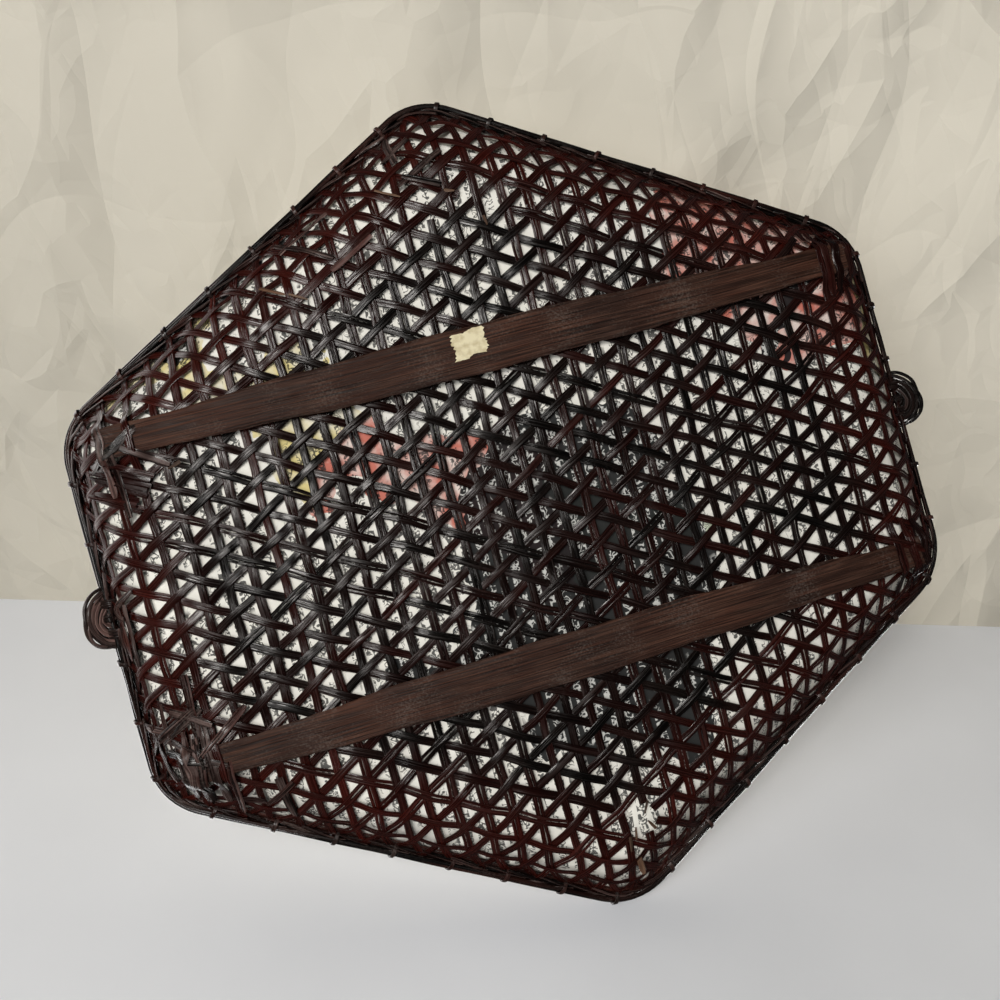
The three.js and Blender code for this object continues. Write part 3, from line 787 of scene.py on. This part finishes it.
def lashingParts(nodes):
    draw = seeded(71)
    angle = fullTurn(28)
    ring = []
    for centre, half, value in zip(rim["lashCentre"], rim["lashHalf"], (np.cos(angle), np.sin(angle))):
        ring.append(centre + half * (np.sign(value) * np.abs(value) ** 0.66))
    parts = []
    for number, node in enumerate(nodes, 1):
        low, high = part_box(node)
        middle = np.array([(low.x + high.x) / 2, (low.y + high.y) / 2]) / mm
        side = int((outward @ middle - rimReach).argmax())
        share = (sideways[side] @ middle - rimStart[side]) / rimLength[side]
        shares = share + (draw.uniform(0.5, 1.4) * np.cos(angle) + draw.normal(0, 0.4)) / rimLength[side]
        section = splitSection(rim["lashWidth"] * draw.uniform(0.88, 1.12), rim["lashThickness"])
        look = {"seed": number * 1.3, "tone": draw.beta(1.5, 3)}
        parts.append(woundLoop(side, shares, ring, rim["lashCentre"], section, **look))
    return parts


lashings = [f"rim_lashing_{number:02d}" for number in range(1, 43)]
makePiece("rimOuterCanes", ringParts(rim["outerCanes"] + rim["strands"]), "rimLacquer",
          ["rim_outer_hoop"])
makePiece("rimInnerCanes", ringParts(rim["innerCanes"]), "rimLacquer", ["rim_inner_hoop"])
makePiece("rimLashings", lashingParts(lashings), "lashingLacquer", lashings)
print("rim made")


# The ears: round strands outside, flat strands nested inside them, tied to the rim with dark knots. Outer
# strands are half width, reach, shift, radius and height, and inner ones half width, reach, width and shift.
ear = {
    "outer": ((14.4, 14.6, -0.8, 0.9, 0.2), (13.4, 15.3, 3.2, 0.85, 1.1), (12.6, 13.4, 0.6, 0.85, -1),
              (12, 14.6, 4.6, 0.7, -0.2)),
    "inner": ((11, 12, 2.3, 1.6), (8.9, 10.2, 2, 1), (6.8, 8.6, 1.9, 1.9), (4.6, 7.2, 1.8, 0.8),
              (2.6, 5.8, 1.6, 1.2)),
    "innerTilt": 0.7,
    "innerTone": {0: (0.85, 0.7, 0.8, 0.55, 0.65), 3: (0.05, 0.01, 0.1, 0, 0.04)},
    "outerTone": {0: 0.05, 3: 0},
    "flatThickness": 0.6, "groove": 0.75,
    "ties": {"a": 7.3, "b": -7.3},
    "tieTurns": 4, "tieSpread": 1.15, "tieCentre": (-1.4, 0.9), "tieHalf": (4.5, 5.2),
}


def arc(halfWidth, reach, shift, point=1, count=41):
    # a horseshoe that leaves the rim a little narrower than its widest, and more of a wedge by its point
    angle = np.linspace(-0.18, math.pi + 0.18, count)
    cosine, sine = np.cos(angle), np.clip(np.sin(angle), -0.2, 1)
    along = halfWidth * np.sign(cosine) * np.abs(cosine) ** point + shift * sine
    out = 3.2 + (reach - 3.2) * np.sign(sine) * np.abs(sine) ** point
    return along, out


def earPlace(side, along, out, up=0):
    along, out, up = np.broadcast_arrays(along, out, up)
    return onRim(side, 0.5 + along / rimLength[side], up - 1.2, out)[0]


def earFrame(side):
    # the way up the wall at the ear, and to which side its loops droop
    return np.array([*outward[side] * climb[0], climb[1]]), -1 if side == 0 else 1


def outerStrands(side):
    slopeUp, droop = earFrame(side)
    parts = []
    for number, (halfWidth, reach, shift, radius, up) in enumerate(ear["outer"]):
        along, out = arc(halfWidth, reach, shift * droop)
        bend = np.linspace(0, 40, len(along))
        out = out + wander(bend, 300 + number + side, 26, 0.25)
        path = earPlace(side, along, out, up + wander(bend, 310 + number + side, 22, 0.25))
        tone = ear["outerTone"][side] * (1 + number)
        parts.append(sweep(path, -slopeUp, roundSection(radius, 9), seed=number * 2.3 + side, tone=tone))
    return parts


def innerStrands(side):
    slopeUp, droop = earFrame(side)
    draw = seeded(500 + side)
    parts = []
    for number, (halfWidth, reach, width, shift) in enumerate(ear["inner"]):
        point = 1.0 + 0.09 * number
        along, out = arc(halfWidth, reach, shift * droop, point)
        path = earPlace(side, along, out, -0.2 - 0.35 * number)
        normal = -slopeUp - unit(path - earPlace(side, 0 * along, 3)) * ear["innerTilt"]
        look = {"seed": number * 3.7 + side, "tone": ear["innerTone"][side][number]}
        parts.append(sweep(path, normal, splitSection(width, ear["flatThickness"]), **look))
        # a dark strand lies deeper in the groove between two flat ones
        along, out = arc(halfWidth - 1.15, reach - 0.95, shift * droop, point)
        path = earPlace(side, along, out, 0.8 - 0.35 * number)
        parts.append(sweep(path, -slopeUp, roundSection(ear["groove"], 7), seed=number + 9, tone=0))
    angle = fullTurn(22)
    for turn in range(3):
        # the ear's root is bound to the rim at its middle
        along = (turn - 1) * 1.3 + 0.5 * np.cos(angle) + draw.normal(0, 0.3)
        path = earPlace(side, along, 3.6 + 3.0 * np.sin(angle), -1.2 + 2.4 * np.cos(angle))
        out = unit(path - earPlace(side, along, 3.6, -1.2))
        parts.append(sweep(path, out, roundSection(0.7, 8), closed=True, seed=turn + side, tone=0.02))
    return parts


def tieParts(side, middle):
    # a few turns of dark cane round both hoops and the ear's root
    seed, turns, centre, half = 60 + side + int(middle), ear["tieTurns"], ear["tieCentre"], ear["tieHalf"]
    draw = seeded(seed)
    angle = fullTurn(26)
    parts = []
    for turn in range(turns):
        offset = middle + (turn - (turns - 1) / 2) * ear["tieSpread"]
        u = centre[0] + (half[0] + draw.uniform(0, 0.4)) * np.cos(angle)
        v = centre[1] + (half[1] + draw.uniform(0, 0.5)) * np.sin(angle)
        shares = 0.5 + (offset + draw.uniform(-0.5, 0.5) + 0.7 * np.cos(angle)) / rimLength[side]
        parts.append(woundLoop(side, shares, (u, v), centre, roundSection(0.62, 8), seed=seed + turn, tone=0.1))
    return parts


for side, hand in ((0, "right"), (3, "left")):
    label, node = "ear" + hand.capitalize(), "handle_" + hand
    for kind, strands in (("outer", outerStrands), ("inner", innerStrands)):
        makePiece(label + kind.capitalize() + "Strands", strands(side), "handleLacquer",
                  [f"{node}_{kind}_loop"])
    for kind, middle in ear["ties"].items():
        makePiece(label + "Tie" + kind.upper(), tieParts(side, middle), "lashingLacquer",
                  [f"{node}_tie_{kind}"])
print("ears made")


# The two foot slats: flat bamboo, widest in the middle, their blunt ends tucked under one strip each. Half of
# the section is given by places across from edge to edge, and how full it is there.
slat = {
    "halfLength": 183, "stations": 150, "thickness": (3.3, 1.7), "endRaise": 1.55, "waver": 0.35,
    "across": (-1, -0.94, -0.8, -0.5, 0, 0.5, 0.8, 0.94),
    "full": (0, 0.62, 0.86, 0.97, 1, 0.97, 0.86, 0.62),
}


def slatShape(node):
    # half width along the slat, read from the node that it stands for
    points = np.array([vertex.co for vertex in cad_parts[node].data.vertices]) / mm
    middle = (points[:, 1].min() + points[:, 1].max()) / 2
    order = np.argsort(points[:, 0])
    x, half = points[order, 0], np.abs(points[order, 1] - middle)
    bins = np.unique(np.round(x[np.abs(x) < slat["halfLength"] - 8]))
    return middle, bins, np.array([half[np.abs(x - b) < 0.6].max() for b in bins])


def slatParts(node, seed):
    middle, known, halves = slatShape(node)
    x = np.linspace(-slat["halfLength"], slat["halfLength"], slat["stations"])
    end = slat["halfLength"] - np.abs(x)
    half = np.interp(x, known, halves) * (1 - 0.14 * (1 - smoothStep(end / 2)))
    share = np.abs(x) / slat["halfLength"]
    thick = slat["thickness"][0] + (slat["thickness"][1] - slat["thickness"][0]) * share**3
    raised = slat["endRaise"] * smoothStep((share - 0.82) / 0.13)
    outer = np.stack([slat["across"], -(0.1 + 0.9 * np.array(slat["full"])) * 0.5], 1)
    beside, height = np.concatenate([outer, -outer]).T
    wave = wander(x, seed, 70, slat["waver"])[:, None] * np.abs(beside)
    section = np.stack([beside * half[:, None] + wave, height * thick[:, None]], -1)
    path = np.stack([x, np.full(len(x), middle) + wander(x, seed + 3, 240, 0.3), raised + thick / 2], 1)
    tone = np.clip(0.45 + wander(x, seed + 9, 150, 0.22), 0, 1)
    return [sweep(path, np.array([0, 0, -1]), section, seed=seed * 0.37, tone=tone)]


for name, seed in (("back", 21), ("front", 34)):
    node = "foot_slat_" + name
    makePiece("footSlat" + name.capitalize(), slatParts(node, seed), "slatBamboo", [node], 50)
print("slats made")


# The lining: one sheet of paper pressed into the tray, a little crumpled.
lining = {
    "perSide": 46, "baseRings": 38, "wallRings": 15, "top": 37, "inside": 1.5, "crumple": 1.1,
    "thickness": 0.25,
}


def liningParts():
    perSide, baseRings, wallRings = lining["perSide"], lining["baseRings"], lining["wallRings"]
    side = np.repeat(np.arange(6), perSide)
    share = np.tile(np.arange(perSide) / perSide, 6)
    edge = onHexagon(side, share, flatReach, flatStart, flatStop)
    rings = [np.array([[0, 0, tray["baseZ"] + lining["inside"] + 0.4]])]
    for level in range(baseRings + wallRings):
        if level < baseRings:
            place, facing, _ = folded(edge * (level + 1) / (baseRings + 0.5))
        else:
            distance = lining["top"] * (level - baseRings + 0.5) / wallRings
            place, facing = onSide(side, share, np.full(len(side), distance))
        crease = np.array([noise.noise(Vector(row) * 0.045) + 0.5 * abs(noise.noise(Vector(row) * 0.12))
                           for row in place])
        rings.append(place - facing * (lining["inside"] + lining["crumple"] * (0.45 + crease))[:, None])
    around = len(side)
    fan = [[1 + j, 1 + (j + 1) % around, 0] for j in range(around)]
    return [plainPart(np.concatenate(rings), 1 + gridQuads(baseRings + wallRings, around), fan)]


sheet = makePiece("liningSheet", liningParts(), "liningPaper", ["paper_lining"], smooth=60)
body = sheet.modifiers.new("paperThickness", "SOLIDIFY")
body.thickness = lining["thickness"] * mm
body.offset = 1.0
print("lining made")


# A torn scrap of bare paper stuck to the back slat.
tag = {
    "corners": ((17.9, 84.6), (12, 84), (7.5, 85.6), (1.9, 85.3), (2.6, 80), (1.8, 76.5), (3.2, 73.2),
                (9, 73.6), (13, 71.9), (18.9, 72), (17.4, 76.2), (18.6, 80.5)),
    "low": -0.28, "lift": 0.12, "thickness": 0.16, "torn": 0.45,
}


def tagMaterial():
    shader = newMaterial("tagPaper")
    mottle = noiseValue(objectPlace(), 240, 5)
    colour = ramp(mottle, ((0.3, (0.46, 0.38, 0.22)), (0.58, (0.7, 0.63, 0.42))))
    connect(shader, {"Base Color": colour, "Roughness": 0.8, "Normal": bump(mottle, 0.5, 0.0006)})


def tagParts():
    corners = np.array(tag["corners"])
    outline = []
    for first, second in zip(corners, np.roll(corners, -1, 0)):
        torn = abs(first[0] - second[0]) < abs(first[1] - second[1])
        for step in range(5):
            tooth = tag["torn"] * (-1) ** step if torn else 0.0
            outline.append(first + (second - first) * step / 5 + np.array([tooth, 0]))
    draw = seeded(8)
    outline = np.array(outline) + draw.normal(0, 0.14, (len(outline), 2))
    middle, count = outline.mean(0), len(outline)
    points = []
    for top in (0, 1):
        for share in (0.35, 0.7, 1):
            ring = middle + (outline - middle) * share
            lift = np.array([noise.noise(Vector((x * 0.2, y * 0.2, 3))) for x, y in ring]) * tag["lift"]
            points.append(np.column_stack([ring, tag["low"] + tag["lift"] + lift + top * tag["thickness"]]))
    # the lower face, the upper face and the torn edge between them
    grid, j = gridQuads(3, count), np.arange(count)
    k = (j + 1) % count
    edge = np.stack([2 * count + k, 2 * count + j, 5 * count + j, 5 * count + k], 1)
    quads = np.concatenate([np.roll(grid[:, ::-1], 1, 1), np.roll(grid, -1, 1) + 3 * count, edge])
    return [plainPart(np.concatenate(points), quads, [j[::-1].tolist(), (j + 3 * count).tolist()])]


tagMaterial()
makePiece("paperTag", tagParts(), "tagPaper", smooth=60)
print("tag made")


# The stage: the photograph's paper wall and floor, which only show from their front, and a plain floor under
# the feet for upright views. Facets are heading in degrees, size, stretch and steepness.
stage = {
    "tilt": 28, "roll": 0.028, "wallBehind": 60, "size": 3, "shadeReach": 0.25,
    # The shade pairs are painted shade: each paper's colour is scaled from the first factor on one side to the
    # second on the other, within shadeReach of the middle.
    "wallPaper": {"colour": (0.655, 0.615, 0.52), "shade": (0.83, 1.06)},
    "floorPaper": {"colour": (0.675, 0.69, 0.715), "shade": (1.01, 1.13)},
    "facets": ((8, 0.125, 1.5, 0.17), (-14, 0.065, 1.8, 0.12), (24, 0.034, 1.5, 0.075)), "facetBend": 0.9,
}


def sceneUp():
    right, up, back = cameraAxes()
    tilt = math.radians(stage["tilt"])
    upright = up * math.cos(stage["roll"]) + right * math.sin(stage["roll"])
    floorUp = (upright * math.cos(tilt) + back * math.sin(tilt)).normalized()
    toCamera = (back - floorUp * back.dot(floorUp)).normalized()
    return floorUp, toCamera, floorUp.cross(toCamera)


def facetHeight(place):
    # crumpled paper: flat facets between sharp folds, in three sizes, taller than wide
    floorUp, _, level = sceneUp()
    height = 0.0
    for number, (heading, size, stretch, steepness) in enumerate(stage["facets"]):
        cosine, sine = ahead(heading)
        ways = [(level * cosine + floorUp * sine) / size, (floorUp * cosine - level * sine) / (size * stretch)]
        x, y = [vectorMaths("DOT_PRODUCT", place, way) for way in ways]
        flat = addNode("ShaderNodeCombineXYZ", {"X": x, "Y": y, "Z": number * 3.7}).outputs[0]
        push = vectorMaths("SCALE", noiseValue(flat, 0.9, 1, "Color"), stage["facetBend"])
        flat = vectorMaths("ADD", flat, push)
        cells = addNode("ShaderNodeTexVoronoi", {"Vector": flat, "Scale": 1}, distance="MANHATTAN")
        shown = mapRange(noiseValue(flat, 0.45, 1), 0.3, 0.62)
        fold = maths("MULTIPLY", cells.outputs["Distance"], size * steepness)
        height = maths("ADD", maths("MULTIPLY", fold, shown), height)
    return height


def stageMaterial(name):
    colour, shade = stage[name]["colour"], stage[name]["shade"]
    shader = newMaterial(name)
    place = objectPlace()
    darker, lighter = [tuple(value * share for value in colour) for share in (0.94, 1.06)]
    paper = ramp(noiseValue(place, 3, 4), ((0.35, darker), (0.65, lighter)))
    # painted shade: the paper is darkened towards one side and lightened towards the other, in place of light
    # that falls off across the wall and floor
    aside = vectorMaths("DOT_PRODUCT", place, sceneUp()[2])
    shaded = mapRange(aside, -stage["shadeReach"], stage["shadeReach"], *shade)
    colour = mixColour(1, paper, shaded, "MULTIPLY")
    connect(shader, {"Base Color": colour, "Roughness": 0.9, "Specular IOR Level": 0.1})
    if name == "wallPaper":
        connect(shader, {"Normal": bump(facetHeight(place), 1, 1)})
    clear = addNode("ShaderNodeBsdfTransparent")
    facing = addNode("ShaderNodeNewGeometry").outputs["Backfacing"]
    mixed = addNode("ShaderNodeMixShader", {0: facing, 1: shader.outputs[0], 2: clear.outputs[0]})
    connect(current["tree"].nodes["Material Output"], {"Surface": mixed.outputs[0]})


def addPlane(name, centre, normal, towards, material):
    half = stage["size"] / 2
    side = normal.cross(towards).normalized()
    signs = ((-1, -1), (1, -1), (1, 1), (-1, 1))
    corners = [centre + side * (a * half) + towards * (b * half) for a, b in signs]
    mesh = bpy.data.meshes.new(name)
    mesh.from_pydata([corner[:] for corner in corners], [], [[0, 3, 2, 1]])
    mesh.materials.append(materials[material])
    plane = bpy.data.objects.new(name, mesh)
    scene.collection.objects.link(plane)
    plane.visible_shadow = plane.visible_glossy = False
    return plane


def addStage():
    floorUp, toCamera, _ = sceneUp()
    sides, shares = np.repeat(np.arange(6), 20), np.tile(np.linspace(0, 1, 20), 6)
    rimPoints = onRim(sides, shares, 1, 4.9)[0] * mm
    lowest = (rimPoints @ np.array(floorUp)).min() - 0.0006
    furthest = (rimPoints @ np.array(toCamera)).min() - stage["wallBehind"] * mm
    corner = floorUp * lowest + toCamera * furthest
    half = stage["size"] / 2
    for name in ("wallPaper", "floorPaper"):
        stageMaterial(name)
    addPlane("photoWall", corner + floorUp * half, toCamera, floorUp, "wallPaper")
    addPlane("photoFloor", corner + toCamera * half, floorUp, toCamera, "floorPaper")
    plain = addPlane("plainFloor", Vector((0, 0, 0)), Vector((0, 0, 1)), Vector((0, 1, 0)), "floorPaper")
    plain.visible_diffuse = False


# Soft disc lamps: the first three light the photograph's view, and the upper ones the tray's inside.
lamps = {
    "windowLight": {"place": (0.38, 0.42, -1.4), "target": (0, 0.02, 0), "size": 0.42, "power": 8.4,
                    "colour": (1, 0.96, 0.92)},
    "sideLight": {"place": (0.85, 0.49, 0.68), "size": 1.2, "power": 5.6, "colour": (1, 0.95, 0.92)},
    "fillLight": {"place": (0.7, 0.3, -1.4), "size": 1.4, "power": 18.6, "mirrored": False},
    "upperLight": {"place": (-0.8, -0.9, 1.6), "size": 0.9, "power": 15},
    "upperFill": {"place": (1, -0.5, 1.4), "size": 1.2, "power": 10.5},
}


def addLamp(name, place, size, power, target=(0, 0, 0), mirrored=True, colour=(1, 1, 1)):
    data = bpy.data.lights.new(name, "AREA")
    data.shape, data.size, data.energy, data.color = "DISK", size, power, colour
    lamp = bpy.data.objects.new(name, data)
    scene.collection.objects.link(lamp)
    lamp.location = place
    lamp.visible_glossy = mirrored
    lamp.rotation_mode = "QUATERNION"
    lamp.rotation_quaternion = (Vector(target) - Vector(place)).to_track_quat("-Z", "Y")


def addWorld():
    scene.world = bpy.data.worlds.new("world")
    scene.world.use_nodes = True
    tree = current["tree"] = scene.world.node_tree
    seen = addNode("ShaderNodeLightPath").outputs["Is Camera Ray"]
    strength = mapRange(seen, 0, 1, 0.03, 1)
    connect(tree.nodes["Background"], {"Color": (0.86, 0.86, 0.85), "Strength": strength})


addStage()
addWorld()
for name, settings in lamps.items():
    addLamp(name, **settings)
print("stage and lights made")
